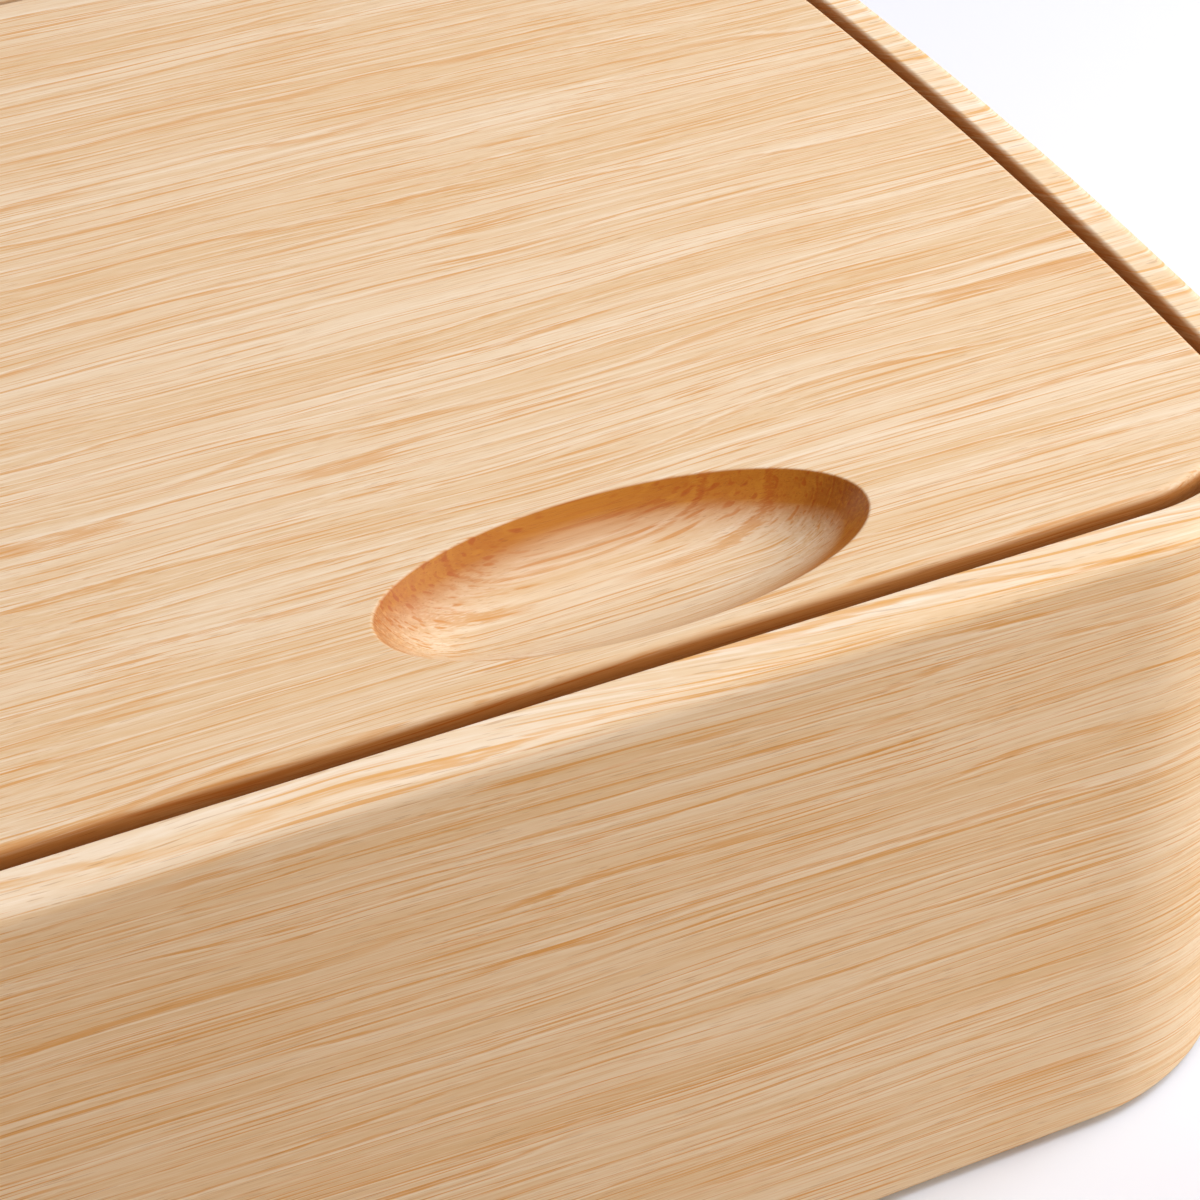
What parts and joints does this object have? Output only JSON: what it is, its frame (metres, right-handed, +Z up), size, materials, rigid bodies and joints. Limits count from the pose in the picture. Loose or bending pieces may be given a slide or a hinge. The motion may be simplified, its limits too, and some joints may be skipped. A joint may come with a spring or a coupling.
{
  "type": "wooden storage box",
  "caption": "Low oak box with round upright corners and bowed short sides; its inset lid has an oval finger scoop and opens on brass butt hinges at the back.",
  "frame": {"origin": "on the floor under the middle of the box", "axes": "+X along the box to the right, +Y from the front to the hinged back, +Z up"},
  "size_m": [0.24, 0.176, 0.0852],
  "materials": {
    "oak_body": "pale oak, matt oil",
    "oak_lid": "pale oak, matt oil",
    "oak_base": "oak, plain sanded",
    "brass": "satin brass",
    "steel": "bright zinc",
    "felt": "wool felt",
    "foot_rubber": "matt rubber"
  },
  "bodies": {
    "box": {"body_walls": "oak_body", "base_panel": "oak_base", "base_screw_1": "steel", "base_screw_2": "steel", "base_screw_3": "steel", "base_screw_4": "steel", "base_screw_5": "steel", "base_screw_6": "steel", "base_liner": "felt", "foot_front_left": "foot_rubber", "foot_front_right": "foot_rubber", "foot_back_left": "foot_rubber", "foot_back_right": "foot_rubber", "lid_pad_left": "felt", "lid_pad_right": "felt", "left_hinge_wall_leaf": "brass", "left_hinge_pin": "steel", "left_hinge_wall_screw_1": "brass", "left_hinge_wall_screw_2": "brass", "left_hinge_wall_screw_3": "brass", "right_hinge_wall_leaf": "brass", "right_hinge_pin": "steel", "right_hinge_wall_screw_1": "brass", "right_hinge_wall_screw_2": "brass", "right_hinge_wall_screw_3": "brass"},
    "lid": {"lid_panel": "oak_lid", "left_hinge_lid_leaf": "brass", "left_hinge_lid_screw_1": "brass", "left_hinge_lid_screw_2": "brass", "left_hinge_lid_screw_3": "brass", "right_hinge_lid_leaf": "brass", "right_hinge_lid_screw_1": "brass", "right_hinge_lid_screw_2": "brass", "right_hinge_lid_screw_3": "brass"}
  },
  "joints": [
    {"name": "lid_hinge", "type": "hinge", "parent": "box", "child": "lid", "pos_m": [0, 0.07945, 0.083], "axis": [-1, 0, 0], "range_deg": [0, 95]}
  ]
}
